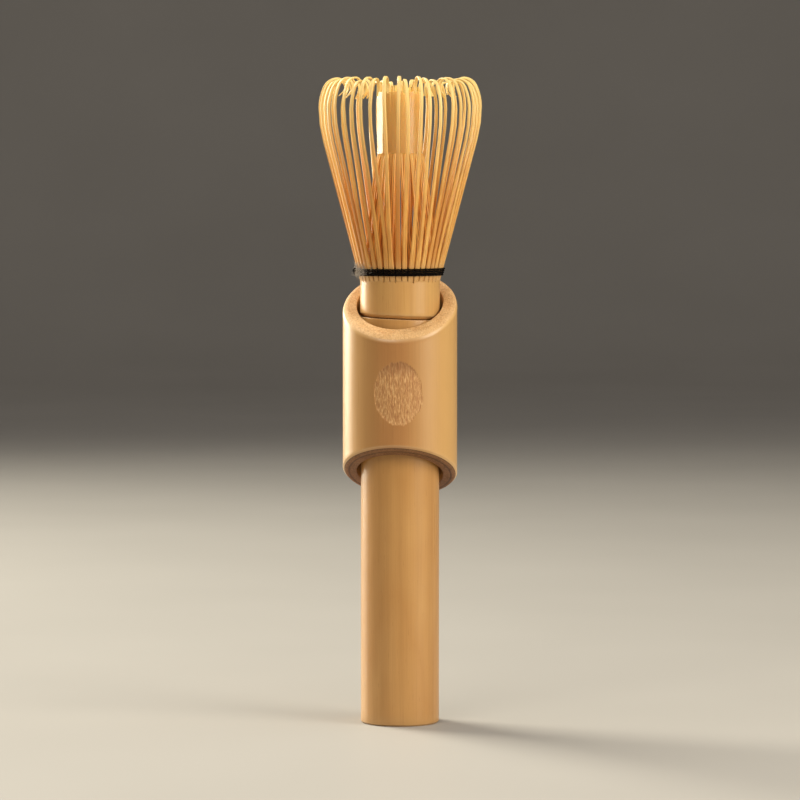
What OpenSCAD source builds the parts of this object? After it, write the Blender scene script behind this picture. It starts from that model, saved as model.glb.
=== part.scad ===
// Long-handled bamboo tea whisk with a sliding slant-cut sleeve.
// Millimetres, +Z up. The origin is the centre of the foot of the long handle, the front is -Y.

/* [Long handle] */
// Outer diameter of the handle cane
handle_d = 24.3; // [20:0.1:28]
// Wall thickness of the handle cane
handle_wall = 3.6; // [2.5:0.1:5]
// Height of the joint between the long handle and the whisk head, on the axis
seam_z = 125.2; // [100:0.5:150]
// Tilt of the joint's saw cut about Y, in degrees: the left side is the higher one
seam_tilt = 2.6; // [0:0.1:4]
// Chamfer round the whisk head's edge of the joint
seam_chamfer = 1.3; // [0.2:0.1:2]
// Easing of the handle's sharp outer edges
edge_ease = 0.5; // [0.2:0.1:1]

/* [Joint dowel] */
// Length of the dowel glued inside the long handle
dowel_below = 26; // [15:1:40]
// Length of the dowel glued inside the whisk head
dowel_above = 9; // [5:0.5:10]
// Glue line between the dowel and the cane around it
glue_gap = 0.05; // [0.02:0.01:0.1]

/* [Whisk head] */
// Outer diameter of the whisk's own short handle
head_d = 24.7; // [21:0.1:29]
// Height of the short handle, from the joint to the roots of the tines
head_h = 11.8; // [9:0.1:16]
// Number of outer tines
outer_count = 42; // [24:1:44]
// Width of an outer tine at its root
outer_root_w = 1.45; // [1:0.05:1.6]
// Width of an outer tine at its hook
outer_hook_w = 1.05; // [0.6:0.05:1.3]
// Thickness of an outer tine at its root
outer_root_t = 0.9; // [0.6:0.05:1.2]
// Thickness of an outer tine at its tip
outer_tip_t = 0.4; // [0.3:0.05:0.6]
// Angle between the outer tines and the axis below the hook, in degrees
flare = 14.9; // [12:0.1:16]
// Height of an outer tine's straight stretch, from its root to the start of the hook
straight_h = 43.6; // [35:0.1:50]
// Number of inner tines
inner_count = 42; // [24:1:44]
// Width of an inner tine at its root
inner_root_w = 1.25; // [0.8:0.05:1.4]
// Width of an inner tine inside the film tube
inner_neck_w = 0.8; // [0.4:0.05:0.85]
// Thickness of an inner tine
inner_t = 0.55; // [0.4:0.05:0.7]
// Height of the inner tines' tips above the foot
inner_tip_z = 197.4; // [190:0.1:199]

/* [Binding thread] */
// Diameter of the thread
thread_d = 0.6; // [0.4:0.05:0.7]
// Number of turns round the outside of the tines
winding_turns = 4; // [2:1:5]
// Number of turns woven between the outer and the inner tines
weave_turns = 2; // [1:1:3]
// Height of the bottom of the winding above the tines' roots
winding_lift = 1.5; // [1:0.1:3]

/* [Film tube] */
// Outer diameter of the clear film tube
film_d = 14.5; // [14:0.1:16]
// Thickness of the film
film_t = 0.25; // [0.2:0.05:0.4]
// Height of the film tube
film_h = 18.9; // [14:0.1:20]
// Height of the tube's lower edge above the foot
film_z = 176; // [174:0.5:178]

/* [Holder sleeve] */
// Outer diameter of the sleeve
sleeve_d = 35.4; // [32:0.1:40]
// Diameter of the sleeve's bore
sleeve_bore_d = 26.6; // [26:0.1:28]
// Height of the slanted top cut at the front
sleeve_top_front = 120; // [110:0.1:125]
// Height that the slanted top cut would reach at the back
sleeve_top_back = 139.8; // [126:0.1:142]
// Height at which the tip of the slanted top cut is blunted, to pass under the thread
sleeve_tip_z = 136.9; // [126:0.1:137]
// Height of the slanted bottom cut at the front
sleeve_foot_front = 86; // [80:0.1:95]
// Height of the slanted bottom cut at the back
sleeve_foot_back = 68.7; // [60:0.1:79]
// Turn of both slanted cuts about the axis, in degrees: their low front and foot lie to the left
sleeve_cut_turn = 6; // [-15:0.5:15]
// Width of the oval scraped patch on the front
patch_w = 15.6; // [8:0.1:20]
// Height of the oval scraped patch
patch_h = 19.4; // [8:0.1:24]
// Height of the centre of the oval patch above the foot
patch_z = 103; // [98:0.1:106]
// Turn of the oval patch from the front to the left, in degrees
patch_turn = 2; // [-10:0.5:10]
// Depth of the oval patch
patch_depth = 0.2; // [0.1:0.05:0.4]

/* [Grip ring] */
// Height of the ring that grips the long handle inside the sleeve
ring_h = 14; // [6:0.5:18]
// Height of the ring's lower edge above the foot
ring_z = 96; // [92:0.5:100]
// Running clearance on each side of the ring's wall
ring_clearance = 0.05; // [0.02:0.01:0.1]

/* [Hidden] */
$fn = 96;

handle_r = handle_d / 2;
head_r = head_d / 2;
bore_r = handle_r - handle_wall;
root_z = seam_z + head_h;

// Stretches of an outer tine's hook, root to tip: the radius of each arc and the heading where it ends.
// A heading is the angle from +Z towards the outside, so the hook turns from the flare to below -180.
hook_arcs = [[39, 0], [15.5, -25], [4.3, -90], [2.5, -190]];
// Degrees of heading between two points of an arc
hook_step = 13;
// Length of the hook's last straight stretch, at the tip
hook_end = 1.6;

// The inner tines lean in to the film tube and run up inside it, as radius and height of the outer face.
inner_root = [11.35, root_z];
inner_neck = [film_d / 2 - film_t - 0.12, film_z];
inner_top_r = inner_neck.x - 0.25;
inner_bend_z = film_z + 5;

// Reach of cutting tools past the solids that they cut
cut = 1;

thread_r = thread_d / 2;
// Place of the first outer tine after +X, in pitches. The inner tines stand half a pitch on.
tine_start = 0.25;
// Distance between two turns of thread, just over its diameter
turn_pitch = thread_d + 0.02;
// Play between the thread and the tines
thread_play = 0.03;
// Direction of the knot, in degrees round the axis: on the left, a little to the front
knot_angle = 188;
knot_r = 1.1 * thread_d;
// Length of the knot's two cut tails and their spread from upright
knot_tail = 1.8;
knot_tail_spread = 35;

// One step of a pen that stands at p, has the heading h and draws a chord of length c.
function pen(p, h, c) = p + c * [sin(h), cos(h)];

// Points and headings [r, z, heading] along an arc of radius rad, from heading a to b, in n chords.
function arc_path(p, a, b, rad, n, i = 1) =
    let (turn = (b - a) / n, chord = 2 * rad * sin(abs(turn) / 2))
    let (q = pen(p, a + turn * (i - 0.5), chord))
    i > n ? [] : concat([[q.x, q.y, a + turn * i]], arc_path(q, a, b, rad, n, i + 1));

// All the arcs of the hook, one after another.
function hook_path(p, h, k = 0) =
    k == len(hook_arcs) ? [] :
    let (rad = hook_arcs[k][0], b = hook_arcs[k][1], n = ceil(abs(b - h) / hook_step))
    let (arc = arc_path(p, h, b, rad, n), last = arc[n - 1])
    concat(arc, hook_path([last.x, last.y], b, k + 1));

// The outer face of an outer tine from root to tip, as [r, z, heading].
function outer_path() =
    let (root = [head_r, root_z], top = root + straight_h * [tan(flare), 1])
    let (hook = hook_path(top, flare), last = hook[len(hook) - 1])
    let (tip = pen([last.x, last.y], last[2], hook_end))
    concat([[root.x, root.y, flare], [top.x, top.y, flare]], hook, [[tip.x, tip.y, last[2]]]);

// The outer face of an inner tine from root to tip, as [r, z, heading].
function inner_path() =
    let (lean = atan2(inner_neck.x - inner_root.x, inner_neck.y - inner_root.y))
    [
        [inner_root.x, inner_root.y, lean],
        [inner_neck.x, inner_neck.y, lean * 0.8],
        [inner_top_r, inner_bend_z, 0],
        [inner_top_r, inner_tip_z, 0]
    ];

// A strip of thickness t0 at the root and t1 at the tip, on the inner side of a path.
function strip(path, t0, t1) =
    let (n = len(path) - 1)
    let (face = [for (p = path) [p.x, p.y]])
    let (back = [for (i = [n:-1:0])
        let (p = path[i], t = t0 + (t1 - t0) * i / n)
        [p.x - t * cos(p[2]), p.y + t * sin(p[2])]])
    concat(face, back);

// Radius of the outer face of the straight stretch of the outer tines at height z.
function outer_face_r(z) = head_r + (z - root_z) * tan(flare);

// Radius of the outer face of the inner tines at height z, below the film tube.
function inner_face_r(z) =
    inner_root.x + (inner_neck.x - inner_root.x) * (z - inner_root.y) / (inner_neck.y - inner_root.y);

// Radius that centres a turn of thread just outside the outer tines at height z.
function winding_r(z) = outer_face_r(z) + (thread_r + thread_play) / cos(flare);

function winding_z(i) = root_z + winding_lift + thread_r + i * turn_pitch;

// Everything above the joint's slanted saw cut.
module above_seam() {
    translate([0, 0, seam_z])
        rotate([0, seam_tilt, 0])
            translate([-sleeve_d, -sleeve_d, 0])
                cube([2 * sleeve_d, 2 * sleeve_d, root_z]);
}

// A cone that stands on the joint's saw cut and widens upwards at 45 degrees, to chamfer the whisk head.
module chamfer_cone() {
    h = head_r;
    translate([0, 0, seam_z])
        rotate([0, seam_tilt, 0])
            cylinder(h = h + seam_chamfer, r1 = head_r - seam_chamfer, r2 = head_r + h);
}

// A tube from z0 to z1 with eased outer edges.
module cane(z0, z1, r_out, r_in, ease_low, ease_high) {
    rotate_extrude()
        polygon([
            [r_in, z0], [r_out - ease_low, z0], [r_out, z0 + ease_low],
            [r_out, z1 - ease_high], [r_out - ease_high, z1], [r_in, z1]
        ]);
}

// One flat tine cut from a strip of bamboo, with its outline in the radial plane. Its width goes from
// w_root at the root to w_top at height z_top and stays the same above.
module tine(outline, w_root, w_top, z_top) {
    wide = w_root / 2;
    slim = w_top / 2;
    crown = z_top + sleeve_d;
    intersection() {
        rotate([90, 0, 0])
            linear_extrude(w_root, center = true)
                polygon(outline);
        rotate([90, 0, 90])
            linear_extrude(sleeve_d)
                polygon([
                    [-wide, root_z], [wide, root_z], [slim, z_top],
                    [slim, crown], [-slim, crown], [-slim, z_top]
                ]);
    }
}

module thread_turn(r, z) {
    translate([0, 0, z])
        rotate_extrude()
            translate([r, 0])
                circle(thread_r, $fn = 24);
}

module long_handle() {
    color("burlywood")
        difference() {
            cane(0, seam_z + cut, handle_r, bore_r, edge_ease, 0.01);
            above_seam();
        }
}

module joint_dowel() {
    color("tan")
        translate([0, 0, seam_z - dowel_below])
            cylinder(h = dowel_below + dowel_above, r = bore_r - glue_gap);
}

module whisk_handle() {
    color("navajowhite")
        intersection() {
            cane(seam_z - cut, root_z, head_r, bore_r, 0.01, 0.01);
            chamfer_cone();
        }
}

module outer_tines() {
    outline = strip(outer_path(), outer_root_t, outer_tip_t);
    color("goldenrod")
        for (i = [0:outer_count - 1])
            rotate([0, 0, (i + tine_start) * 360 / outer_count])
                tine(outline, outer_root_w, outer_hook_w, root_z + straight_h);
}

module inner_tines() {
    outline = strip(inner_path(), inner_t, inner_t);
    color("peru")
        for (i = [0:inner_count - 1])
            rotate([0, 0, (i + 0.5 + tine_start) * 360 / inner_count])
                tine(outline, inner_root_w, inner_neck_w, film_z);
}

module thread_winding() {
    color("black")
        for (i = [0:winding_turns - 1])
            thread_turn(winding_r(winding_z(i)), winding_z(i));
}

module thread_weave() {
    gap_mid = 0.5;
    color("dimgray")
        for (i = [0:weave_turns - 1])
            let (z = winding_z(i + 1))
            let (r_out = outer_face_r(z) - outer_root_t / cos(flare))
                thread_turn(inner_face_r(z) + gap_mid * (r_out - inner_face_r(z)), z);
}

module thread_knot() {
    z = (winding_z(0) + winding_z(winding_turns - 1)) / 2;
    r = winding_r(z) + thread_r + knot_r;
    color("dimgray")
        rotate([0, 0, knot_angle])
            translate([r, 0, z]) {
                sphere(knot_r, $fn = 32);
                for (side = [-1, 1])
                    rotate([side * knot_tail_spread, 0, 0])
                        cylinder(h = knot_tail, r = thread_r, $fn = 24);
            }
}

module film_tube() {
    color("lightcyan", 0.4)
        rotate_extrude()
            translate([film_d / 2 - film_t, film_z])
                square([film_t, film_h]);
}

module grip_ring() {
    color("saddlebrown")
        rotate_extrude()
            translate([handle_r + ring_clearance, ring_z])
                square([sleeve_bore_d / 2 - handle_r - 2 * ring_clearance, ring_h]);
}

module holder_sleeve() {
    r = sleeve_d / 2;
    color("sandybrown")
        difference() {
            intersection() {
                cylinder(h = sleeve_tip_z, r = r);
                rotate([90, 0, 90 - sleeve_cut_turn])
                    linear_extrude(2 * sleeve_d, center = true)
                        polygon([
                            [-r, sleeve_foot_front], [r, sleeve_foot_back],
                            [r, sleeve_top_back], [-r, sleeve_top_front]
                        ]);
            }
            cylinder(h = sleeve_top_back + 2 * cut, d = sleeve_bore_d);
            scraped_patch();
        }
}

// The shallow oval patch: an oval prism through the front of the wall, outside the patch's floor.
module scraped_patch() {
    difference() {
        translate([0, 0, patch_z])
            rotate([90, 0, -patch_turn])
                linear_extrude(sleeve_d)
                    polygon([for (a = [0:10:350]) [patch_w / 2 * cos(a), patch_h / 2 * sin(a)]]);
        cylinder(h = sleeve_top_back, r = sleeve_d / 2 - patch_depth);
    }
}

long_handle();
joint_dowel();
whisk_handle();
outer_tines();
inner_tines();
thread_winding();
thread_weave();
thread_knot();
film_tube();
grip_ring();
holder_sleeve();
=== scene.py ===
"""Looks of the long-handled bamboo tea whisk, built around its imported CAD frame.

Lengths are in millimetres and angles in degrees. build() turns the lengths into the frame's metres.
"""

import random
from math import ceil, cos, degrees, hypot, pi, radians, sin, tan

import bmesh
import bpy
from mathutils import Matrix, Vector, noise


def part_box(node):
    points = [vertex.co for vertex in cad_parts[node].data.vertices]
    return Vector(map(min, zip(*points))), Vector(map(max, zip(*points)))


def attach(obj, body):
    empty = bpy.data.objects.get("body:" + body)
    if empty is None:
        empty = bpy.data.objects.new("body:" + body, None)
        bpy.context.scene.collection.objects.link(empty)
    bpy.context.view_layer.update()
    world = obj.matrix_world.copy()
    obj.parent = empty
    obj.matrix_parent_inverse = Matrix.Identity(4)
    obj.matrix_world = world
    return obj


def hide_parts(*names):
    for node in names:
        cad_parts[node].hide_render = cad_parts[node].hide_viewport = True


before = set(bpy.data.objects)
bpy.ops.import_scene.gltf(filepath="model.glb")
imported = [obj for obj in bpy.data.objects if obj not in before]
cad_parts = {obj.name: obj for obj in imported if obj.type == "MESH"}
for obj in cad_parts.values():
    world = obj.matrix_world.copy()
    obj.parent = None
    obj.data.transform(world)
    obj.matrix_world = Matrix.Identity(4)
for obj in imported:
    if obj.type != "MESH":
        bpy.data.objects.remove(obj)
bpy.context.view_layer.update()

MM = 0.001
UP = Vector((0, 0, 1))
rng = random.Random(48)


# ---------------------------------------------------------------- sizes

# Handle and joint
EDGE_EASE = 0.55
SEAM_EASE_HANDLE = 0.15
SEAM_CHAMFER = 1.3
CANE_WALL = 3.6
UNEVENNESS = 0.045

# Tines. Pairs of widths and thicknesses are for the two ends of a tine.
FLARE = 14.9
STRAIGHT_HEIGHT = 43.6
# Arcs of the hook, as the radius and the heading where it ends. Each tine scales its own two curls.
HOOK_ARCS = ((39, 0), (15.5, -25))
CURL_RADII = (4.3, 2.5)
CURL_END = (-235, -172)
HOOK_STEP = 8
HOOK_TIP = 2.1
TINES = 42
PITCH = 360 / TINES
TINE_START = 0.25
OUTER_WIDTH = (1.52, 1.06)
ROOT_WIDTH = 1.66
OUTER_THICKNESS = (0.9, 0.36)
INNER_WIDTH = (1.3, 0.88)
INNER_THICKNESS = (0.6, 0.46)
SLIT_START = TINE_START + 0.5
SLIT_WIDTH = 0.4
SLIT_DEPTH = 0.7
# The dark split down the face of an inner tine
SPLIT_HALF = 0.12
SPLIT_DEPTH = 0.2

# Thread
THREAD_D = 0.6
WINDING_TURNS = 4
# Direction of the grey hairs on the thread's left side, partly painted sheen where the light
# catches it
FUZZ_PLACE = 203

# Film tube: the thickness of its sheet, and where it is pressed flat
FILM_SHEET = 0.11
FILM_FLAT = (184, 222)

# Sleeve and grip ring
SLEEVE_EASE_TOP = 1.9
SLEEVE_EASE_FOOT = 1.0
SLEEVE_CUT_TURN = 6
# Painted light: the sleeve's skin is painted paler to both sides of this X, between these two
# distances from it, as if lit more at its edges
SIDE_LIGHT_X = -2
SIDE_LIGHT_RANGE = (3, 16)
# Depths of the two dark rings of painted shade on the sleeve's foot cut, under its skin
SKIN_LAYER = 1.95
OUTER_LAYER = 0.4
FRONT = 270
PATCH_WIDTH = 15.6
PATCH_HEIGHT = 19.4
PATCH_Z = 103
PATCH_TURN = 2
PATCH_DEPTH = 0.17
RING_GAP = 0.05


def box_mm(node):
    """Lowest and highest corner of a CAD node, in millimetres."""
    low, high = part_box(node)
    return low / MM, high / MM


handle_low, handle_high = box_mm("long_handle")
head_low, head_high = box_mm("whisk_handle")
_, outer_high = box_mm("outer_tines")
_, inner_high = box_mm("inner_tines")
winding_low, winding_high = box_mm("thread_winding")
weave_low, weave_high = box_mm("thread_weave")
knot_low, knot_high = box_mm("thread_knot")
film_low, film_high = box_mm("film_tube")
_, sleeve_high = box_mm("holder_sleeve")
ring_low, ring_high = box_mm("grip_ring")
dowel_low, dowel_high = box_mm("joint_dowel")

handle_r = handle_high.x
head_r = head_high.x
bore_r = handle_r - CANE_WALL
sleeve_r = sleeve_high.x
sleeve_bore_r = ring_high.x + RING_GAP
film_r = film_high.x
root_z = head_high.z
seam_slope = (handle_high.z - head_low.z) / (handle_r + head_r)
seam_z = head_low.z + seam_slope * head_r


def slanted_cut(above):
    """The plane of the sleeve's top cut (above) or foot cut, as its height at (x, y).

    It is read from the outer edge of the cut, where that crosses the front and the sides of the
    CAD sleeve.
    """
    edge = [v.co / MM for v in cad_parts["holder_sleeve"].data.vertices]
    edge = [v for v in edge
            if hypot(v.x, v.y) > sleeve_r - 0.02 and (v.z > PATCH_Z + PATCH_HEIGHT / 2) == above]
    uphill = Vector((sin(radians(SLEEVE_CUT_TURN)), cos(radians(SLEEVE_CUT_TURN))))
    front = min(edge, key=lambda v: uphill.dot(v.xy))
    side = min(edge, key=lambda v: abs(uphill.dot(v.xy)))
    slope = (side.z - front.z) / uphill.dot(side.xy - front.xy)
    level = front.z - slope * uphill.dot(front.xy)
    return lambda x, y: min(level + slope * uphill.dot(Vector((x, y))), sleeve_high.z)


sleeve_top, sleeve_foot = slanted_cut(True), slanted_cut(False)


# ---------------------------------------------------------------- mesh tools

def lerp(a, b, t):
    return a + (b - a) * t


def smooth(t):
    """A step from 0 to 1 with soft ends."""
    t = min(max(t, 0), 1)
    return t * t * (3 - 2 * t)


def polar(r, a, z=0):
    """The point at radius r, direction a and height z."""
    return Vector((r * cos(radians(a)), r * sin(radians(a)), z))


def build(name, verts, faces, body, slot, nodes, materials, zones=None, **attributes):
    """A piece from a mesh in millimetres, riding on a body and standing for CAD nodes.

    zones gives each face its material, and attributes give each vertex its values for the shader.
    """
    mesh = bpy.data.meshes.new(name)
    mesh.from_pydata([Vector(v) * MM for v in verts], [], faces)
    for key, values in attributes.items():
        kind = "FLOAT_VECTOR" if hasattr(values[0], "__len__") else "FLOAT"
        layer = mesh.attributes.new(key, kind, "POINT")
        field = "vector" if kind == "FLOAT_VECTOR" else "value"
        flat = [c for v in values for c in v] if kind == "FLOAT_VECTOR" else values
        layer.data.foreach_set(field, flat)
    for material in materials:
        mesh.materials.append(material)
    if zones:
        mesh.polygons.foreach_set("material_index", zones)
    tidy = bmesh.new()
    tidy.from_mesh(mesh)
    bmesh.ops.recalc_face_normals(tidy, faces=tidy.faces)
    tidy.to_mesh(mesh)
    tidy.free()
    mesh.shade_smooth()
    mesh.set_sharp_from_angle(angle=radians(40))
    piece = bpy.data.objects.new(name, mesh)
    bpy.context.scene.collection.objects.link(piece)
    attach(piece, body)
    if nodes:
        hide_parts(*nodes)
    return piece


def ring_faces(rings, sides, closed=True):
    """Quads between neighbouring rings of vertices. An open row of rings gets a cap at each end."""
    faces = []
    for i in range(rings if closed else rings - 1):
        here, there = i * sides, (i + 1) % rings * sides
        for j in range(sides):
            k = (j + 1) % sides
            faces.append((here + j, here + k, there + k, there + j))
    if not closed:
        faces.append(tuple(reversed(range(sides))))
        faces.append(tuple(range((rings - 1) * sides, rings * sides)))
    return faces


def lathe(angles, profile):
    """Vertices, faces, zones and edge lightening of a closed ring, whose profile(angle) is a loop
    of points.

    A point is (radius, height, zone, edge lightening), the last partly from rubbing and partly a
    painted highlight.
    """
    loops = [profile(a) for a in angles]
    verts = [polar(r, a, z) for a, loop in zip(angles, loops) for r, z, _, _ in loop]
    zones = [zone for loop in loops for _, _, zone, _ in loop]
    wear = [worn_and_lit for loop in loops for _, _, _, worn_and_lit in loop]
    return verts, ring_faces(len(angles), len(loops[0])), zones, wear


SKIN, CUT, BORE, SCRAPED, FOOT_CUT_SHADED = range(5)


def quarter_round(ease, steps=5):
    """Steps of a rounded edge from the cut to the skin, as (inward, back from the cut, edge
    lightening).
    """
    # Edge lightening is partly rubbing and partly a painted highlight, strongest halfway round the
    # edge.
    turns = [radians(90 * i / steps) for i in range(steps + 1)]
    return [(ease * (1 - sin(q)), ease * (1 - cos(q)), sin(2 * q)) for q in turns]


def chamfer(ease):
    """A flat bevel with slightly rounded arrises, in the steps of quarter_round."""
    soft = 0.12 * ease
    # The third values lighten the arrises, partly as rubbing and partly as painted highlight.
    half = [(ease + soft, 0, 0.3), (ease, 0.3 * soft, 1), (ease - soft, soft, 0.5)]
    mirrored = [(back, inward, worn_and_lit) for inward, back, worn_and_lit in reversed(half)]
    return half + [(ease / 2, ease / 2, 0.1)] + mirrored


def groove_and_chamfer(ease):
    """A chamfer with a thin open slot under it, where the glue line stays back from the skin."""
    slot, depth = 0.24, 1.4
    bevel = [(inward, back + slot * inward / ease, worn_and_lit) for inward, back, worn_and_lit in chamfer(ease)]
    return [(ease + depth + 0.2, 0, 0), (ease + depth, slot, 0), (ease + 0.5, slot, 0)] + bevel


def cane_profile(a, r_in, r_out, low, high, edge_low, edge_high, rows, dent, zone_at=None):
    """One section of a cane's wall, as a loop of lathe points.

    It goes up the bore, out over the top cut, down the skin and in under the foot cut. low and high
    give the height of the two cuts at (x, y), edge_low and edge_high the shape of their outer
    edges, rows the heights down the skin, dent its depth and zone_at its material.
    """
    x, y = cos(radians(a)), sin(radians(a))

    def cut(plane, r):
        return plane(r * x, r * y)

    soft = 0.3
    loop = []
    bore_rows = 8
    for i in range(bore_rows + 1):
        z = lerp(cut(low, r_in) + soft, cut(high, r_in) - soft, i / bore_rows)
        loop.append((r_in, z, BORE, 0))
    loop.append((r_in + 0.3 * soft, cut(high, r_in) - 0.3 * soft, CUT, 1))
    flat_steps = 5
    for i in range(flat_steps):
        r = lerp(r_in + soft, r_out - edge_high[0][0], i / flat_steps)
        loop.append((r, cut(high, r), CUT, 0.5 if i == 0 else 0))
    for i, (inward, back, worn_and_lit) in enumerate(edge_high):
        r = r_out - inward
        loop.append((r, cut(high, r) - back, CUT if 2 * i < len(edge_high) else SKIN, worn_and_lit))
    top = cut(high, r_out) - edge_high[-1][1]
    foot = cut(low, r_out) + edge_low[-1][1]
    for z in rows(top, foot):
        loop.append((r_out - dent(a, z), z, zone_at(a, z) if zone_at else SKIN, 0))
    for i, (inward, back, worn_and_lit) in reversed(list(enumerate(edge_low))):
        r = r_out - inward
        loop.append((r, cut(low, r) + back, CUT if 2 * i < len(edge_low) else SKIN, worn_and_lit))
    for i in range(1, flat_steps + 1):
        r = lerp(r_out - edge_low[0][0], r_in + soft, i / flat_steps)
        loop.append((r, cut(low, r), CUT, 0.5 if i == flat_steps else 0))
    loop.append((r_in + 0.3 * soft, cut(low, r_in) + 0.3 * soft, CUT, 1))
    return loop


def even_rows(count):
    """Heights between two limits, without the limits themselves."""
    return lambda top, foot: [lerp(top, foot, i / (count + 1)) for i in range(1, count + 1)]


def rounded_section(width, thickness, corner=0.28, split=0.0):
    """Corners of a rounded strip section, anticlockwise, as (across, outwards).

    split is the depth of the split down its outer face.
    """
    w, t = width / 2, thickness / 2
    c = corner * min(w, t) * 2
    face = [(SPLIT_HALF, t), (0, t - split), (-SPLIT_HALF, t)] if split else []
    return [(w, t - c), (w - c, t)] + face + [
        (-w + c, t), (-w, t - c), (-w, -t + c), (-w + c, -t), (w - c, -t), (w, -t + c),
    ]


def strip_mesh(path, section_at):
    """A closed strip along a path of (point, across, outwards).

    It returns the vertices, the faces, and each vertex's place across and along the strip.
    """
    verts, across, along = [], [], []
    travelled, before = 0, path[0][0]
    for i, (point, side, out) in enumerate(path):
        travelled += (point - before).length
        before = point
        for u, v in section_at(i / (len(path) - 1)):
            verts.append(point + side * u + out * v)
            across.append(u)
            along.append(travelled)
    return verts, ring_faces(len(path), len(section_at(0)), closed=False), across, along


def tube_mesh(points, radius_at, sides, lobes=0, twist=0, closed=False):
    """A tube along points. With lobes its section is a twisted yarn of that many plies."""
    verts = []
    count = len(points)
    travelled = 0
    for i, point in enumerate(points):
        ahead = points[(i + 1) % count] if closed or i + 1 < count else point
        behind = points[i - 1] if closed or i else point
        forward = (ahead - behind).normalized()
        side = forward.cross(UP)
        if side.length < 0.05:
            side = forward.cross(Vector((1, 0, 0)))
        side.normalize()
        top = side.cross(forward)
        travelled += (point - points[i - 1]).length if i else 0
        turn = twist * travelled
        for j in range(sides):
            a = 2 * pi * j / sides
            r = radius_at(i / max(count - 1, 1))
            if lobes:
                r *= 0.86 + 0.14 * cos(lobes * a + turn)
            verts.append(point + side * (r * cos(a)) + top * (r * sin(a)))
    return verts, ring_faces(count, sides, closed)


def merged(parts):
    """Several (verts, faces) meshes as one."""
    verts, faces = [], []
    for part_verts, part_faces in parts:
        start = len(verts)
        verts += part_verts
        faces += [tuple(start + i for i in face) for face in part_faces]
    return verts, faces


# ---------------------------------------------------------------- material tools

def tone(code):
    """A linear colour from an sRGB hex code."""
    parts = [int(code[i:i + 2], 16) / 255 for i in (0, 2, 4)]
    return [c / 12.92 if c <= 0.04045 else ((c + 0.055) / 1.055) ** 2.4 for c in parts] + [1]


def node(tree, kind, inputs=None, **settings):
    """A shader node, its inputs set to constants or linked to other nodes' sockets."""
    made = tree.nodes.new(kind)
    for key, value in settings.items():
        setattr(made, key, value)
    for key, value in (inputs or {}).items():
        if isinstance(value, bpy.types.NodeSocket):
            tree.links.new(value, made.inputs[key])
        else:
            made.inputs[key].default_value = value
    return made


def new_material(name):
    material = bpy.data.materials.new(name)
    material.use_nodes = True
    tree = material.node_tree
    tree.nodes.clear()
    return material, tree


def finish_material(tree, shader):
    node(tree, "ShaderNodeOutputMaterial", {"Surface": shader.outputs[0]})


def principled(tree, inputs):
    return node(tree, "ShaderNodeBsdfPrincipled", inputs)


def ramp(tree, factor, stops):
    """Colours blended along a factor. A stop is (position, colour)."""
    made = node(tree, "ShaderNodeValToRGB", {"Fac": factor})
    elements = made.color_ramp.elements
    while len(elements) < len(stops):
        elements.new(0.5)
    for element, (position, colour) in zip(elements, stops):
        element.position, element.color = position, colour
    return made.outputs["Color"]


def blend_colour(tree, factor, a, b):
    made = node(tree, "ShaderNodeMix", data_type="RGBA", clamp_factor=True)
    for index, value in ((0, factor), (6, a), (7, b)):
        if isinstance(value, bpy.types.NodeSocket):
            tree.links.new(value, made.inputs[index])
        else:
            made.inputs[index].default_value = value
    return made.outputs[2]


def maths(tree, operation, a, b=0.0):
    return node(tree, "ShaderNodeMath", {0: a, 1: b}, operation=operation).outputs[0]


def stretched_noise(tree, vector, scale, stretch, detail=3.0, roughness=0.55, offset=0.0):
    """Noise of `scale` cells a metre whose cells are drawn out along the given axes."""
    mapping = node(tree, "ShaderNodeMapping", {
        "Vector": vector,
        "Location": (offset, offset * 0.7, offset * 1.3),
        "Scale": stretch,
    })
    return node(tree, "ShaderNodeTexNoise", {
        "Vector": mapping.outputs[0], "Scale": scale, "Detail": detail, "Roughness": roughness,
    }).outputs["Fac"]


def scaled(tree, vector, factors):
    inputs = {0: vector, 1: factors}
    return node(tree, "ShaderNodeVectorMath", inputs, operation="MULTIPLY").outputs[0]


def map_range(tree, value, low, high, to_low=0.0, to_high=1.0):
    return node(tree, "ShaderNodeMapRange", {
        "Value": value, "From Min": low, "From Max": high, "To Min": to_low, "To Max": to_high,
    }).outputs[0]


def bumped(tree, height, distance, strength=1.0):
    return node(tree, "ShaderNodeBump", {
        "Height": height, "Distance": distance, "Strength": strength,
    }).outputs[0]


def attribute(tree, name, output="Fac"):
    return node(tree, "ShaderNodeAttribute", attribute_name=name).outputs[output]


def stained(tree, under, mask, low, high, amount, code):
    """A colour with a tone over it: none where the mask is low, amount of it where it is high."""
    return blend_colour(tree, map_range(tree, mask, low, high, 0, amount), under, tone(code))


def rubbed_and_edge_lit(tree, under, amount, code):
    """A colour with a lighter tone over it along edges, partly from rubbing and partly a painted
    highlight.
    """
    # Painted highlight with rubbing: the lighter tone rides on the rounded arrises.
    wear = maths(tree, "MULTIPLY", attribute(tree, "wear"), amount)
    return blend_colour(tree, wear, under, tone(code))


def object_coords(tree):
    return node(tree, "ShaderNodeTexCoord").outputs["Object"]


# ---------------------------------------------------------------- materials

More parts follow.
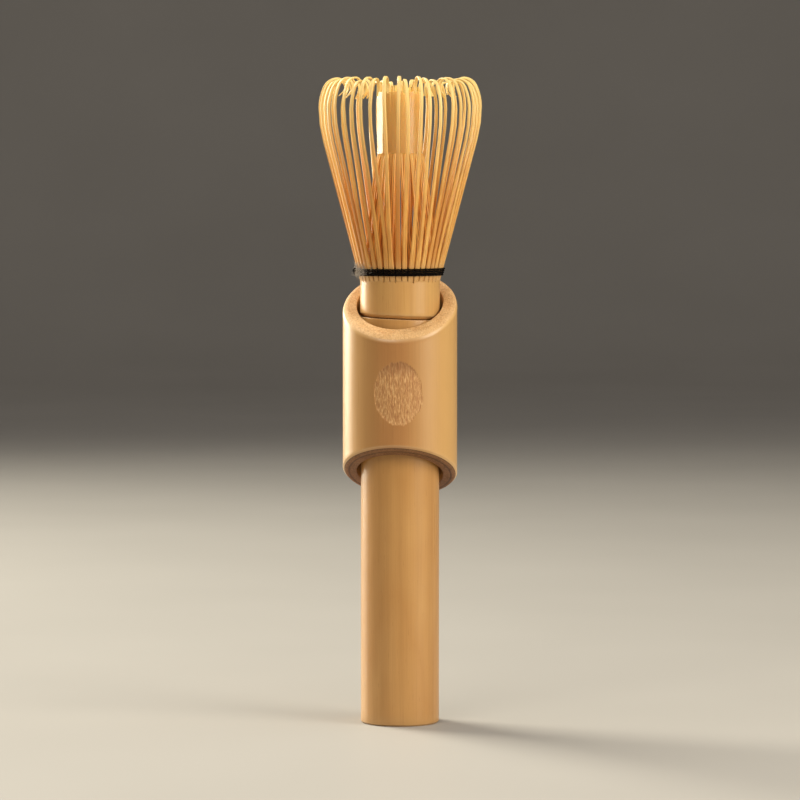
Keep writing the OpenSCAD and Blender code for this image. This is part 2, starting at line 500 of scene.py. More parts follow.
def cane_skin(name, light, mid, dark, seed, coat, coat_roughness=0.22, painted_side_light=0):
    """The satin skin of a cane: fine fibres along Z, faint streaks and short pores.

    The last argument is the share of a paler tone painted at the left and the right side, as
    painted light, not a tone of the cane.
    """
    material, tree = new_material(name)
    place = object_coords(tree)
    broad = stretched_noise(tree, place, 70, (1, 1, 0.35), 2, offset=seed)
    streak = stretched_noise(tree, place, 700, (1, 1, 0.018), 3, 0.6, offset=seed + 3)
    fibre = stretched_noise(tree, place, 3600, (1, 1, 0.014), 2, 0.6, offset=seed + 7)
    pores = stretched_noise(tree, place, 3000, (1, 1, 0.09), 1, 0.5, offset=seed + 11)
    wide = stretched_noise(tree, place, 230, (1, 1, 0.02), 2, 0.5, offset=seed + 5)
    skin = ramp(tree, broad, [(0.3, tone(light)), (0.55, tone(mid)), (0.8, tone(light))])
    for mask, low, high, amount in (
        (wide, 0.45, 0.7, 0.2), (streak, 0.42, 0.72, 0.13),
        (fibre, 0.4, 0.75, 0.14), (pores, 0.68, 0.78, 0.3),
    ):
        skin = stained(tree, skin, mask, low, high, amount, dark)
    # Lighter arrises: partly rubbing, partly painted highlight.
    worn_and_lit = rubbed_and_edge_lit(tree, skin, 0.35, "e9c998")
    # Painted light: the skin is blended towards a paler tone at its left and right sides.
    x = node(tree, "ShaderNodeSeparateXYZ", {0: place}).outputs["X"]
    aside = maths(tree, "ABSOLUTE", maths(tree, "SUBTRACT", x, SIDE_LIGHT_X * MM))
    side_light_from, side_light_to = (distance * MM for distance in SIDE_LIGHT_RANGE)
    share = map_range(tree, aside, side_light_from, side_light_to, 0, painted_side_light)
    fine = maths(tree, "MULTIPLY", fibre, 0.4)
    relief = maths(tree, "ADD", maths(tree, "MULTIPLY", streak, 0.6), fine)
    finish_material(tree, principled(tree, {
        "Base Color": blend_colour(tree, share, worn_and_lit, tone("edc27a")),
        "Roughness": map_range(tree, streak, 0.3, 0.7, 0.27, 0.38),
        "Specular IOR Level": 0.55,
        "Coat Weight": coat,
        "Coat Roughness": coat_roughness,
        "Normal": bumped(tree, relief, 0.00009, 0.65),
    }))
    return material


def cane_cut(name, pale, light, mid, dark, seed, line=0.0):
    """A sawn and sanded end: wood with the brown dots of its fibre bundles, closer near the skin.

    line is the strength of the two dark rings painted as shade lines where the layers of the
    sleeve's wall meet.
    """
    material, tree = new_material(name)
    place = object_coords(tree)
    flat = scaled(tree, place, (1, 1, 0.04))
    plan = scaled(tree, place, (1, 1, 0))
    radius = node(tree, "ShaderNodeVectorMath", {0: plan}, operation="LENGTH").outputs["Value"]
    bundles = node(tree, "ShaderNodeTexVoronoi", {"Vector": flat, "Scale": 1150, "Randomness": 0.9})
    fine = node(tree, "ShaderNodeTexVoronoi", {"Vector": flat, "Scale": 2100, "Randomness": 0.95})
    grain = stretched_noise(tree, place, 1800, (1, 1, 0.4), 3, 0.6, offset=seed)
    broad = stretched_noise(tree, place, 260, (1, 1, 1), 2, offset=seed + 5)
    base = ramp(tree, broad, [(0.35, tone(light)), (0.7, tone(mid))])
    grained = stained(tree, base, grain, 0.42, 0.7, 0.55, dark)
    flecks = stretched_noise(tree, place, 2200, (1, 1, 1), 2, 0.6, offset=seed + 9)
    grained = stained(tree, grained, flecks, 0.56, 0.68, 0.55, pale)
    dots = map_range(tree, bundles.outputs["Distance"], 0.12, 0.26, 0.35, 0)
    dotted = blend_colour(tree, dots, grained, tone(dark))
    rim = map_range(tree, radius, (sleeve_r - 2.2) * MM, (sleeve_r - OUTER_LAYER) * MM)
    fine_dots = map_range(tree, fine.outputs["Distance"], 0.2, 0.36, 0.3, 0)
    rimmed = blend_colour(tree, maths(tree, "MULTIPLY", fine_dots, rim), dotted, tone(dark))
    # Lighter arrises: partly rubbing, partly painted highlight.
    worn_and_lit = rubbed_and_edge_lit(tree, rimmed, 0.45, light)
    # Painted shade: two thin dark rings on the cut, standing in for thin lines of shade.
    off_inner, off_outer = [
        maths(tree, "ABSOLUTE", maths(tree, "SUBTRACT", radius, (sleeve_r - depth) * MM))
        for depth in (SKIN_LAYER, OUTER_LAYER)
    ]
    off_shade_ring = maths(tree, "MINIMUM", off_inner, off_outer)
    shade_ring_mask = map_range(tree, off_shade_ring, 0.1 * MM, 0.36 * MM, line, 0)
    finish_material(tree, principled(tree, {
        "Base Color": blend_colour(tree, shade_ring_mask, worn_and_lit, tone("43220e")),
        "Roughness": map_range(tree, grain, 0.3, 0.7, 0.55, 0.72),
        "Specular IOR Level": 0.4,
        "Normal": bumped(tree, maths(tree, "SUBTRACT", grain, dots), 0.0003, 0.85),
    }))
    return material


def cane_bore(name, light, dark, seed):
    """The pithy inside of a cane, matt and pale with loose fibres."""
    material, tree = new_material(name)
    place = object_coords(tree)
    fibre = stretched_noise(tree, place, 1500, (1, 1, 0.03), 4, 0.65, offset=seed)
    broad = stretched_noise(tree, place, 120, (1, 1, 0.4), 2, offset=seed + 2)
    base = ramp(tree, broad, [(0.3, tone(light)), (0.75, tone(dark))])
    finish_material(tree, principled(tree, {
        "Base Color": stained(tree, base, fibre, 0.4, 0.7, 0.6, dark),
        "Roughness": map_range(tree, fibre, 0.3, 0.7, 0.6, 0.8),
        "Normal": bumped(tree, fibre, 0.00012, 0.7),
    }))
    return material


def scraped_cane(name):
    """The oval where the skin is scraped off: bare, matt fibres in long vertical scratches, with
    painted shade at its top.
    """
    material, tree = new_material(name)
    place = object_coords(tree)
    scratch = stretched_noise(tree, place, 2900, (1, 1, 0.2), 4, 0.7, offset=21)
    fibre = stretched_noise(tree, place, 4200, (1, 1, 0.05), 3, 0.6, offset=25)
    # Painted shade: the top of the oval is darkened, where the skin's edge above it shades the
    # shallow recess.
    height = node(tree, "ShaderNodeSeparateXYZ", {0: place}).outputs["Z"]
    top = (PATCH_Z + PATCH_HEIGHT / 2) * MM
    stops = [(0.36, tone("a67143")), (0.5, tone("bf8c56")), (0.66, tone("e0b57f"))]
    fibred = stained(tree, ramp(tree, scratch, stops), fibre, 0.45, 0.75, 0.3, "996740")
    relief = maths(tree, "ADD", scratch, maths(tree, "MULTIPLY", fibre, 0.4))
    finish_material(tree, principled(tree, {
        "Base Color": stained(tree, fibred, height, top - 5 * MM, top - 1.5 * MM, 0.7, "8f5e35"),
        "Roughness": map_range(tree, scratch, 0.3, 0.7, 0.5, 0.7),
        "Normal": bumped(tree, relief, 0.00008, 0.6),
    }))
    return material


def tine_wood(name, pale, light, mid, dark, glow, split_shade):
    """Split bamboo: fibres along each tine, its own tone for each, and a little light let through.

    glow is the share of that light, and split_shade the strength of the dark split down the face.
    """
    material, tree = new_material(name)
    fibre_place = attribute(tree, "fibre", "Vector")
    fibre = stretched_noise(tree, fibre_place, 6, (1.4, 0.08, 9), 3, 0.6)
    streak = stretched_noise(tree, fibre_place, 1.6, (1.2, 0.06, 9), 2, 0.5, offset=4)
    own = attribute(tree, "own_tone")
    base = ramp(tree, own, [(0.0, tone(light)), (0.55, tone(mid)), (1.0, tone(dark))])
    streaked = stained(tree, base, streak, 0.43, 0.62, 0.62, dark)
    fibred = stained(tree, streaked, fibre, 0.42, 0.72, 0.4, dark)
    across = node(tree, "ShaderNodeSeparateXYZ", {0: fibre_place}).outputs["X"]
    in_split = map_range(tree, maths(tree, "ABSOLUTE", across), 0.05, 0.15, split_shade, 0)
    split = blend_colour(tree, in_split, fibred, tone("6b3c16"))
    rooted = blend_colour(tree, attribute(tree, "root"), split, tone("cfa063"))
    finish_material(tree, principled(tree, {
        "Base Color": blend_colour(tree, attribute(tree, "tip"), rooted, tone(pale)),
        "Roughness": map_range(tree, fibre, 0.3, 0.7, 0.36, 0.52),
        "Subsurface Weight": glow,
        "Subsurface Radius": (1.0, 0.8, 0.4),
        "Subsurface Scale": 0.001,
        "Normal": bumped(tree, fibre, 0.00004, 0.6),
    }))
    return material


def yarn(name, dark, light, sheen):
    """Matt spun fibres, with sheen as their fuzz."""
    material, tree = new_material(name)
    place = object_coords(tree)
    fibre = stretched_noise(tree, place, 9000, (1, 1, 0.5), 3, 0.7, offset=2)
    finish_material(tree, principled(tree, {
        "Base Color": stained(tree, tone(dark), fibre, 0.4, 0.75, 1, light),
        "Roughness": 0.75,
        "Specular IOR Level": 0.08,
        "Sheen Weight": sheen,
        "Sheen Roughness": 0.4,
        "Normal": bumped(tree, fibre, 0.00005, 0.8),
    }))
    return material


def clear_film(name):
    """Thin clear plastic: mostly see-through, with a strong gloss and a faint warm haze."""
    material, tree = new_material(name)
    place = object_coords(tree)
    haze = stretched_noise(tree, place, 500, (1, 1, 0.3), 3, 0.6, offset=9)
    clear = node(tree, "ShaderNodeBsdfTransparent", {"Color": (0.985, 0.98, 0.955, 1)})
    gloss = principled(tree, {
        "Base Color": tone("ffd084"),
        "Roughness": map_range(tree, haze, 0.3, 0.7, 0.12, 0.2),
        "Subsurface Weight": 0.7,
        "Subsurface Radius": (1.0, 0.8, 0.55),
        "Subsurface Scale": 0.0015,
        "Specular IOR Level": 1.0,
        "Normal": bumped(tree, haze, 0.00003, 0.35),
    })
    facing = node(tree, "ShaderNodeLayerWeight", {"Blend": 0.5}).outputs["Facing"]
    share = map_range(tree, facing, 0.3, 0.85, 0.26, 0.66)
    parts = {0: share, 1: clear.outputs[0], 2: gloss.outputs[0]}
    finish_material(tree, node(tree, "ShaderNodeMixShader", parts))
    return material


def rubber(name):
    """Matt brown rubber with a fine grain."""
    material, tree = new_material(name)
    grain = stretched_noise(tree, object_coords(tree), 2500, (1, 1, 1), 2, offset=5)
    finish_material(tree, principled(tree, {
        "Base Color": ramp(tree, grain, [(0.3, tone("4a3626")), (0.7, tone("5c4431"))]),
        "Roughness": map_range(tree, grain, 0.3, 0.7, 0.65, 0.8),
        "Normal": bumped(tree, grain, 0.00005, 0.5),
    }))
    return material


def plain_floor(name):
    material, tree = new_material(name)
    mottle = stretched_noise(tree, object_coords(tree), 6, (1, 1, 1), 2)
    finish_material(tree, principled(tree, {
        "Base Color": ramp(tree, mottle, [(0.3, tone("a3a09c")), (0.7, tone("a7a4a0"))]),
        "Roughness": 0.6,
    }))
    return material


skin_handle = cane_skin("handle_skin", "cb9b5e", "c39053", "9a6730", 1, 0.05)
skin_head = cane_skin("head_skin", "d2a564", "cc9c5e", "a26d36", 14, 0)
# The sleeve's last value paints its left and right sides paler, as painted light.
skin_sleeve = cane_skin("sleeve_skin", "b7834e", "af7a45", "905f2b", 27, 0.3, 0.4, 0.5)
cut_face = cane_cut("cut_face", "f6d4a4", "deb47e", "d2a269", "9c6836", 3)
# Painted shade: a darker copy of the cut face for the sleeve's foot cut, which faces down into
# shade, with two dark rings of painted shade.
foot_cut_shaded = cane_cut("foot_cut_shaded", "a5774c", "926640", "7b5432", "4f2f18", 8, 0.75)
bore_face = cane_bore("bore_face", "c9a06a", "9c7240", 6)
scraped_face = scraped_cane("scraped_face")
outer_wood = tine_wood("outer_tine_wood", "f4d890", "f0c06c", "e6ad58", "c07e34", 0.25, 0)
inner_wood = tine_wood("inner_tine_wood", "ffd98a", "fbbf64", "efa84c", "c47c2c", 0.35, 0.7)
black_yarn = yarn("black_yarn", "040201", "120806", 0)
# Painted sheen: the grey of the hairs also stands in for light caught by the black thread.
fuzz_and_sheen = yarn("fuzz_and_sheen", "a0978d", "d3c9bc", 0.6)
film_plastic = clear_film("film_plastic")
ring_rubber = rubber("ring_rubber")


# ---------------------------------------------------------------- handle and whisk head

def even_angles(count):
    return [360 * i / count for i in range(count)]


def sway(a, z, seed):
    """A cane's slight unevenness as an inward offset, never outside the true round."""
    return UNEVENNESS * (1 + noise.noise(polar(1.3, a, z / 60 + seed)))


def seam_plane(x, y):
    return seam_z - seam_slope * x


def long_handle():
    """The hollow rod, from its chamfered foot to the slanted joint."""
    def profile(a):
        return cane_profile(
            a, bore_r, handle_r, lambda x, y: handle_low.z, seam_plane, chamfer(EDGE_EASE),
            quarter_round(SEAM_EASE_HANDLE), even_rows(40), lambda angle, z: sway(angle, z, 1),
        )

    verts, faces, zones, wear = lathe(even_angles(144), profile)
    build("long_handle_cane", verts, faces, "whisk", "bamboo_handle", ["long_handle"],
          [skin_handle, cut_face, bore_face], zones, wear=wear)


def whisk_handle():
    """The short handle of the whisk head, with the ends of the slits between the tines."""
    slit_half = degrees(SLIT_WIDTH / 2 / head_r)
    steps = (-1.6, -1.0, -0.6, 0, 0.6, 1.0, 1.6)
    slit_ends = [root_z - lerp(0.05, 0.7, rng.random()) for _ in range(TINES)]
    angles = []
    for i in range(TINES):
        middle = (i + SLIT_START) * PITCH
        angles += [middle + s * slit_half for s in steps] + [(i + SLIT_START + 0.5) * PITCH]

    def slit(a, z):
        index = round(a / PITCH - SLIT_START)
        away = abs(a - (index + SLIT_START) * PITCH) / slit_half
        end = slit_ends[index % TINES]
        depth = smooth((1.02 - away) / 0.4) * smooth((z - end) / 0.5)
        return SLIT_DEPTH * depth + sway(a, z, 9)

    def rows(top, foot):
        fine_from = root_z - 2.2
        fine = [lerp(top, fine_from, i / 9) for i in range(1, 10)]
        return fine + [lerp(fine_from, foot, i / 8) for i in range(1, 8)]

    def profile(a):
        return cane_profile(
            a, bore_r, head_r, seam_plane, lambda x, y: root_z,
            groove_and_chamfer(SEAM_CHAMFER), quarter_round(0.02, 1), rows, slit,
        )

    verts, faces, zones, wear = lathe(angles, profile)
    build("whisk_handle_cane", verts, faces, "whisk", "bamboo_head", ["whisk_handle"],
          [skin_head, cut_face, bore_face], zones, wear=wear)


def joint_dowel():
    """The hidden dowel, with chamfered ends and glue flutes."""
    flutes = 24
    r = dowel_high.x
    bevel = 1.0

    def profile(a):
        flute = 0.25 * max(0, cos(radians(a * flutes)))
        return [
            (0.01, dowel_low.z, 0, 0), (r - bevel, dowel_low.z, 0, 0),
            (r - flute, dowel_low.z + bevel, 0, 0), (r - flute, dowel_high.z - bevel, 0, 0),
            (r - bevel, dowel_high.z, 0, 0), (0.01, dowel_high.z, 0, 0),
        ]

    verts, faces, zones, wear = lathe(even_angles(flutes * 6), profile)
    build("joint_dowel_fluted", verts, faces, "whisk", "dowel_wood", ["joint_dowel"],
          [bore_face], wear=wear)


# ---------------------------------------------------------------- tines

def hook_path(start, heading, arcs, end):
    """Points (r, z, heading) of a hook made of arcs, then a short straight tip."""
    r, z = start
    points = []
    for radius, stop in arcs:
        steps = ceil(abs(stop - heading) / HOOK_STEP)
        turn = (stop - heading) / steps
        chord = 2 * radius * sin(radians(abs(turn) / 2))
        for i in range(steps):
            middle = radians(heading + turn * (i + 0.5))
            r += chord * sin(middle)
            z += chord * cos(middle)
            points.append((r, z, heading + turn * (i + 1)))
        heading = stop
    for run in (0.5 * end, end):
        points.append((r + run * sin(radians(heading)), z + run * cos(radians(heading)), heading))
    return points


def outer_tine(index):
    """One outer tine as a strip mesh: a straight flare, then a hook that curls in and back."""
    out = polar(1, (index + TINE_START) * PITCH)
    side = UP.cross(out)
    shorter = rng.uniform(0, 1.1)
    lean = FLARE - rng.uniform(0.05, 0.55)
    drift = rng.gauss(0, 0.65)
    bow = rng.gauss(0, 0.18)
    twist = rng.gauss(0, 9)
    curl = rng.uniform(0.88, 1.12)
    final = rng.uniform(*CURL_END)
    arcs = HOOK_ARCS + ((CURL_RADII[0] * curl, -90), (CURL_RADII[1] * curl, final))
    # A wide curl is a tall one, so its tine is shorter to stay under the top of the CAD tines.
    height = STRAIGHT_HEIGHT - max(shorter, 3 * (curl - 1))
    steps = 13
    plane = [(head_r + height * t / steps * tan(radians(lean)), root_z + height * t / steps, lean)
             for t in range(steps + 1)]
    plane += hook_path(plane[-1][:2], lean, arcs, HOOK_TIP * rng.uniform(0.7, 1.1))
    width = rng.uniform(0.92, 1.0)
    last = len(plane) - 1
    path = []
    for i, (r, z, heading) in enumerate(plane):
        t = i / last
        h, q = radians(heading), radians(twist * t * t)
        normal = out * cos(h) - UP * sin(h)
        across = side * cos(q) + normal * sin(q)
        inward = lerp(OUTER_THICKNESS[0], OUTER_THICKNESS[1], t) / 2
        rise = (z - root_z) / (outer_high.z - root_z)
        shift = drift * rise * rise + bow * sin(pi * rise * 2)
        path.append((out * r + UP * z - normal * inward + side * shift, across, normal))

    def section(t):
        tip = smooth((1 - t) / 0.06)
        flared = lerp(*OUTER_WIDTH, min(t * last / steps, 1)) * width
        w = lerp(ROOT_WIDTH, flared, smooth(t * last / steps * 4)) * lerp(0.55, 1, tip)
        return rounded_section(w, lerp(*OUTER_THICKNESS, t) * lerp(0.6, 1, tip))

    return strip_mesh(path, section)


def film_outer_r(a):
    """Outer radius of the film in direction a: round, but pressed flat on the left."""
    first, last = FILM_FLAT
    middle, half = (first + last) / 2, (last - first) / 2
    away = abs((a - middle + 180) % 360 - 180)
    full_r = film_r - 0.02
    return full_r * cos(radians(half)) / cos(radians(away)) if away < half else full_r


def crossed_places():
    """The place of each inner tine in the film tube: some neighbours have crossed on the way."""
    places = list(range(TINES))
    behind = [0.0] * TINES
    for i in range(TINES - 1):
        if rng.random() < 0.3:
            places[i], places[i + 1] = places[i + 1], places[i]
            behind[i] = 0.55
    return places, behind


neck_places, neck_behind = crossed_places()


def inner_tine(index):
    """One inner tine: it leans in from the root, bends upright and stands in the film tube."""
    base = (index + SLIT_START) * PITCH
    swirl = (neck_places[index] - index) * PITCH + rng.gauss(0, 1.1)
    neck_r = film_outer_r(base + swirl) - 3.2 * FILM_SHEET
    deep = neck_behind[index] + 0.2 * rng.random()
    tip_z = inner_high.z - rng.uniform(0, 1.9)
    belly = rng.gauss(0.1, 0.28)
    twist = rng.gauss(0, 16)
    flick = rng.uniform(-0.15, 0.3)
    root_r = inner_high.x
    steps = 26
    path = []
    for i in range(steps + 1):
        t = i / steps
        z = lerp(root_z, tip_z, t)
        lean = smooth((z - root_z) / (film_low.z + 9 - root_z) * 0.72)
        straight = min((z - root_z) / (film_low.z - root_z), 1)
        share = lerp(straight, lean, 0.35)
        r = lerp(root_r, neck_r, share) - deep * smooth(straight)
        r += belly * sin(pi * straight) * (1 - smooth((z - film_low.z + 6) / 6))
        r += flick * smooth((z - film_high.z) / 3)
        r = min(r, neck_r) if z > film_low.z - 1 else r
        out = polar(1, base + swirl * smooth(straight))
        side = UP.cross(out)
        inward = lerp(*INNER_THICKNESS, t) / 2
        q = radians(twist * smooth(straight))
        across, normal = side * cos(q) + out * sin(q), out * cos(q) - side * sin(q)
        path.append((out * (r - inward) + UP * z, across, normal))

    def section(t):
        tip = smooth((1 - t) / 0.05)
        narrowing = min(t * (tip_z - root_z) / (film_low.z - root_z), 1)
        width = lerp(*INNER_WIDTH, narrowing) * lerp(0.5, 1, tip)
        return rounded_section(width, lerp(*INNER_THICKNESS, t), 0.4, SPLIT_DEPTH)

    return strip_mesh(path, section)


def tine_set(name, maker, node_name, material):
    """All tines of one ring as one piece, each with its own tone and its place along the fibre."""
    verts, faces, fibre, own_tone, tip, root = [], [], [], [], [], []
    for i in range(TINES):
        tine_verts, tine_faces, across, along = maker(i)
        start = len(verts)
        verts += tine_verts
        faces += [tuple(start + k for k in face) for face in tine_faces]
        shade = rng.random()
        own_tone += [shade] * len(tine_verts)
        fibre += [(u, v, i * 1.7) for u, v in zip(across, along)]
        longest = max(along)
        tip += [0.85 * smooth((v / longest - 0.3) / 0.6) for v in along]
        root += [smooth(1.3 - v / 6) for v in along]
    build(name, verts, faces, "whisk", "bamboo_tines", [node_name], [material],
          fibre=fibre, own_tone=own_tone, tip=tip, root=root)


# ---------------------------------------------------------------- thread

def winding_r(z):
    """Radius of a turn of thread that lies on the outer tines at height z."""
    return winding_high.x - THREAD_D / 2 - (winding_high.z - THREAD_D / 2 - z) * tan(radians(FLARE))


def slit_phase(a):
    """Angle that goes once round from slit to slit, 0 at each slit."""
    return radians((a / PITCH - SLIT_START) * 360)


def yarn_tube(points, closed=False, radius=THREAD_D / 2):
    return tube_mesh(points, lambda t: radius, sides=12, lobes=3, twist=5.2, closed=closed)


def thread_winding():
    """One long helix of yarn that dips a little between the tines."""
    z_low = winding_low.z + THREAD_D / 2
    z_high = winding_high.z - THREAD_D / 2
    start = 188
    turns = WINDING_TURNS
    steps = turns * 480
    points = []
    for i in range(steps + 1):
        t = i / steps
        a = start + 360 * turns * t
        step = min(max(t * turns / (turns - 1) - 0.5 / (turns - 1), 0), 1)
        z = lerp(z_low, z_high, step)
        dip = 0.07 * (1 + cos(slit_phase(a)))
        r = winding_r(z) - dip + 0.03 * noise.noise(Vector((a / 9, z, 0)))
        points.append(polar(r, a, z))
    build("thread_winding_yarn", *yarn_tube(points), "whisk", "black_thread", ["thread_winding"],
          [black_yarn])


def thread_weave():
    """The turns between the outer and the inner tines, which bulge out into the slits."""
    rows = 3
    parts = []
    for row in range(rows):
        z = lerp(weave_low.z + THREAD_D / 2, weave_high.z + THREAD_D, row / (rows - 1))
        points = []
        for a in even_angles(TINES * 10):
            bulge = max(0, cos(slit_phase(a))) ** 2
            r = lerp(-weave_low.x - THREAD_D * 0.6, winding_r(z) - THREAD_D * 0.95, bulge)
            points.append(polar(r, a, z + 0.1 * sin(radians(a * TINES / 2))))
        parts.append(yarn_tube(points, True, THREAD_D * 0.36))
    build("thread_weave_yarn", *merged(parts), "whisk", "black_thread", ["thread_weave"],
          [black_yarn])


knot_centre = (knot_low + knot_high) / 2
knot_out = Vector((knot_centre.x, knot_centre.y, 0)).normalized()
knot_aside = UP.cross(knot_out)


def thread_knot():
    """A small overhand knot with two frayed tails."""
    size, steps = 0.42, 90
    loop = []
    for i in range(steps):
        a = 2 * pi * i / steps
        u = size * (sin(a) + 2 * sin(2 * a)) / 2
        v = size * (cos(a) - 2 * cos(2 * a)) / 2
        w = -0.22 * sin(3 * a)
        loop.append(knot_centre - knot_out * 0.25 + knot_aside * u + UP * v + knot_out * w)
    parts = [tube_mesh(loop, lambda t: THREAD_D * 0.4, 10, 3, 6, True)]
    for way, length in ((1, 2.3), (-1, 1.7)):
        tail = []
        for i in range(14):
            t = i / 13
            along = knot_aside * (way * (0.3 + length * 0.55 * t))
            down = UP * (way * 0.2 + length * 0.5 * t * t)
            tail.append(knot_centre + along - down + knot_out * (0.15 * sin(3 * t)))
        parts.append(tube_mesh(tail, lambda t: THREAD_D * lerp(0.4, 0.22, t), 10, 3, 6))
    build("thread_knot_yarn", *merged(parts), "whisk", "black_thread", ["thread_knot"],
          [black_yarn])


def thread_fuzz_and_sheen():
    """Fine grey hairs that stand off the winding around the knot; their grey is partly loose fuzz
    and partly painted sheen of light on the black thread.
    """
    hairs = []
    for _ in range(260):
        a = rng.gauss(0, 0.9)
        away = polar(1, rng.gauss(FUZZ_PLACE, 10))
        start = away * (winding_r(knot_centre.z) + rng.uniform(0, 0.3))
        start += UP * (knot_centre.z + rng.gauss(-0.1, 0.9))
        going = away * rng.uniform(0, 0.5) + knot_aside * sin(a) + UP * rng.gauss(0, 0.6)
        going.normalize()
        bend = Vector((rng.gauss(0, 1), rng.gauss(0, 1), rng.gauss(0, 1))) * 0.35
        length = rng.uniform(0.6, 1.9)
        hair = [start + going * (length * i / 5) + bend * (i / 5) ** 2 for i in range(6)]
        hairs.append(tube_mesh(hair, lambda t: lerp(0.05, 0.025, t), 4))
    build("thread_fuzz_and_sheen", *merged(hairs), "whisk", "black_thread", (), [fuzz_and_sheen])


# ---------------------------------------------------------------- film tube

def film_tube():
    """A rolled sheet of clear film whose edges overlap at the back."""
    overlap = 46
    start = 60
    columns = 120
    rows = 8
    verts, faces = [], []
    for i in range(columns + 1):
        t = i / columns
        a = start + (360 + overlap) * t
        lap = 1.3 * FILM_SHEET * smooth((columns - i) / columns * (360 + overlap) / overlap)
        r = film_outer_r(a) - lap
        for j in range(rows + 1):
            z = lerp(film_low.z, film_high.z, j / rows)
            verts += [polar(r - FILM_SHEET, a, z), polar(r, a, z)]
    width = 2 * (rows + 1)
    for i in range(columns):
        for j in range(rows + 1):
            a, b = i * width + 2 * j, (i + 1) * width + 2 * j
            if j < rows:
                faces += [(a, a + 2, b + 2, b), (a + 1, b + 1, b + 3, a + 3)]
            if j in (0, rows):
                faces.append((a, b, b + 1, a + 1))
    for i in (0, columns):
        for j in range(rows):
            a = i * width + 2 * j
            faces.append((a, a + 1, a + 3, a + 2))
    build("film_tube_sheet", verts, faces, "film", "clear_film", ["film_tube"], [film_plastic])


# ---------------------------------------------------------------- sleeve and ring

def patch_place(a, z):
    """Distance from the patch's middle, 1 at its ragged oval outline, and the mm across it."""
    across = radians(a - FRONT + PATCH_TURN) * sleeve_r
    u, v = across / (PATCH_WIDTH / 2), (z - PATCH_Z) / (PATCH_HEIGHT / 2)
    wobble = 0.05 * noise.noise(Vector((2 * u, 2 * v, 5)))
    torn = 0.06 * noise.noise(Vector((16 * u, 2.5 * v, 1)))
    return hypot(u, v) + (wobble + torn), across


def holder_sleeve():
    """The slant-cut sleeve, finely meshed in front, where the scraped oval is."""
    dense = 30
    fine, coarse = 0.4, 3
    angles = [FRONT - dense + fine * i for i in range(round(2 * dense / fine))]
    angles += [FRONT + dense + coarse * i for i in range(round((360 - 2 * dense) / coarse))]
    row_top, row_foot, row_step = 116, 90, 0.3
    strokes = []
    for _ in range(170):
        x = rng.uniform(-1, 1) * PATCH_WIDTH / 2
        z = PATCH_Z + rng.uniform(-1, 1) * PATCH_HEIGHT / 2
        width, length, depth = rng.uniform(0.18, 0.36), rng.uniform(0.8, 4), rng.uniform(0.03, 0.09)
        strokes.append((x, z, width, length, depth))

    def dent(a, z):
        away, across = patch_place(a, z)
        inside = smooth((1 - away) / 0.08)
        if inside == 0:
            return sway(a, z, 20)
        groove = 0
        for x, stroke_z, width, length, depth in strokes:
            near = (across - x) / width
            if abs(near) < 1:
                far = (z - stroke_z) / length
                if abs(far) < 1:
                    groove = max(groove, depth * (1 - near * near) * (1 - far ** 4))
        return sway(a, z, 20) + inside * (PATCH_DEPTH * 0.6 + groove)

    def zone_at(a, z):
        return SCRAPED if patch_place(a, z)[0] < 0.99 else SKIN

    def darkened(point):
        """The same point, in the zone of painted shade if it lies on the foot cut or its bevel."""
        r, z, zone, worn_and_lit = point
        bare = zone == CUT or zone == SKIN and r < sleeve_r - 0.25
        return r, z, FOOT_CUT_SHADED if bare and z < PATCH_Z - PATCH_HEIGHT / 2 else zone, worn_and_lit

    def rows(top, foot):
        upper = [lerp(top, row_top, i / 7) for i in range(1, 7)]
        dense_rows = round((row_top - row_foot) / row_step)
        middle = [row_top - row_step * i for i in range(dense_rows + 1)]
        lower = [lerp(row_foot, foot, i / 7) for i in range(1, 7)]
        return upper + middle + lower

    def profile(a):
        return [darkened(point) for point in cane_profile(
            a, sleeve_bore_r, sleeve_r, sleeve_foot, sleeve_top,
            chamfer(SLEEVE_EASE_FOOT), quarter_round(SLEEVE_EASE_TOP, 8), rows, dent, zone_at,
        )]

    verts, faces, zones, wear = lathe(angles, profile)
    build("holder_sleeve_cane", verts, faces, "holder", "bamboo_sleeve", ["holder_sleeve"],
          [skin_sleeve, cut_face, bore_face, scraped_face, foot_cut_shaded], zones, wear=wear)


def grip_ring():
    """The hidden rubber ring, with ribs that grip the handle and the sleeve."""
    ribs, rib_depth, per_rib = 5, 0.16, 6
    height = ring_high.z - ring_low.z

    def profile(a):
        inner, outer = [], []
        for i in range(ribs * per_rib + 1):
            t = i / (ribs * per_rib)
            z = ring_low.z + height * t
            back = rib_depth - rib_depth * (1 - cos(2 * pi * t * ribs)) / 2
            inner.append((handle_r + RING_GAP + back, z, 0, 0))
            outer.append((ring_high.x - back, z, 0, 0))
        return inner + outer[::-1]

    verts, faces, _, wear = lathe(even_angles(96), profile)
    build("grip_ring_ribbed", verts, faces, "grip", "grip_rubber", ["grip_ring"],
          [ring_rubber], wear=wear)


# ---------------------------------------------------------------- stage, light and camera

def stage():
    """A plain pale floor that rises to a wall all round, far from the object."""
    floor_r, bend, wall = 2000, 900, 2200
    profile = [(0.5, 0)]
    profile += [(floor_r * i / 6, 0) for i in range(1, 7)]
    for turn in range(9, 91, 9):
        q = radians(turn)
        profile.append((floor_r + bend * sin(q), bend * (1 - cos(q))))
    profile.append((floor_r + bend, bend + wall))
    columns = 96
    verts = [polar(r, a, z) for a in even_angles(columns) for r, z in profile]
    n = len(profile)
    faces = [(i * n + j, (i + 1) % columns * n + j, (i + 1) % columns * n + j + 1, i * n + j + 1)
             for i in range(columns) for j in range(n - 1)]
    faces.append(tuple(i * n for i in range(columns)))
    mesh = bpy.data.meshes.new("floor")
    mesh.from_pydata([v * MM for v in verts], [], faces)
    mesh.materials.append(plain_floor("pale_floor"))
    mesh.shade_smooth()
    floor = bpy.data.objects.new("floor", mesh)
    bpy.context.scene.collection.objects.link(floor)


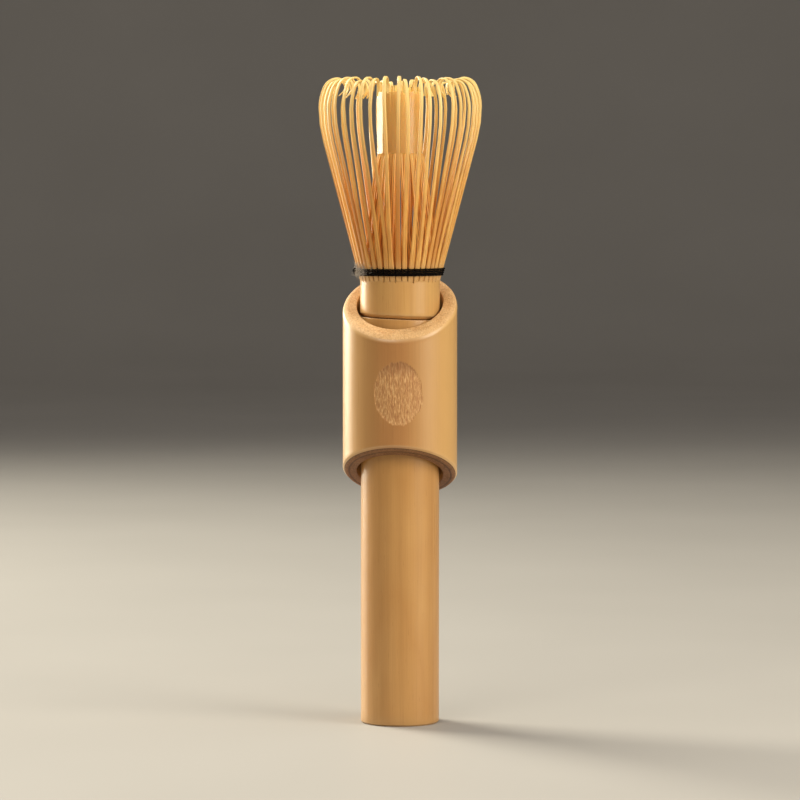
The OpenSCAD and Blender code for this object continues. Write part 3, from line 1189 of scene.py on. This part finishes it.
def area_light(name, place, target, size, watts, colour, spread=180):
    """A rectangular soft light at a place, turned to its target."""
    light = bpy.data.lights.new(name, "AREA")
    light.shape = "RECTANGLE"
    light.size, light.size_y = size[0] * MM, size[1] * MM
    light.energy = watts
    light.color = colour
    light.spread = radians(spread)
    lamp = bpy.data.objects.new(name, light)
    lamp.location = Vector(place) * MM
    lamp.rotation_euler = (Vector(target) - Vector(place)).to_track_quat("-Z", "Y").to_euler()
    bpy.context.scene.collection.objects.link(lamp)


def lights():
    """A big window at the back left, three weak soft lights and a dim room."""
    middle = (0, 0, 130)
    area_light("left_window", (-907, 788, 700), middle, (645, 1450), 20.5, (1.0, 0.94, 0.78), 120)
    area_light("right_soft", (690, -400, 450), middle, (450, 600), 6.3, (1.0, 0.93, 0.79))
    area_light("front_glow", (-210, -420, 480), (0, 0, 175), (300, 250), 1.15, (1.0, 0.92, 0.76))
    area_light("top_soft", (0, -200, 1400), middle, (900, 900), 5.5, (1.0, 0.96, 0.9))
    world = bpy.data.worlds.new("soft_room")
    world.use_nodes = True
    background = world.node_tree.nodes["Background"]
    background.inputs["Color"].default_value = (1.0, 0.93, 0.86, 1)
    background.inputs["Strength"].default_value = 0.34
    bpy.context.scene.world = world


def camera():
    """From the front and a little above, with a long lens."""
    distance, height, aim_z = 1200, 168, 100
    data = bpy.data.cameras.new("camera")
    data.sensor_width = 36
    data.lens = 175
    data.clip_start = 0.05
    lens = bpy.data.objects.new("camera", data)
    place, aim = Vector((0, -distance, height)), Vector((0, 0, aim_z))
    lens.location = place * MM
    lens.rotation_euler = (aim - place).to_track_quat("-Z", "Y").to_euler()
    bpy.context.scene.collection.objects.link(lens)
    bpy.context.scene.camera = lens
    bpy.context.scene.view_settings.view_transform = "Standard"


long_handle()
whisk_handle()
joint_dowel()
tine_set("outer_tines_split", outer_tine, "outer_tines", outer_wood)
tine_set("inner_tines_split", inner_tine, "inner_tines", inner_wood)
thread_winding()
thread_weave()
thread_knot()
thread_fuzz_and_sheen()
film_tube()
holder_sleeve()
grip_ring()
stage()
lights()
camera()
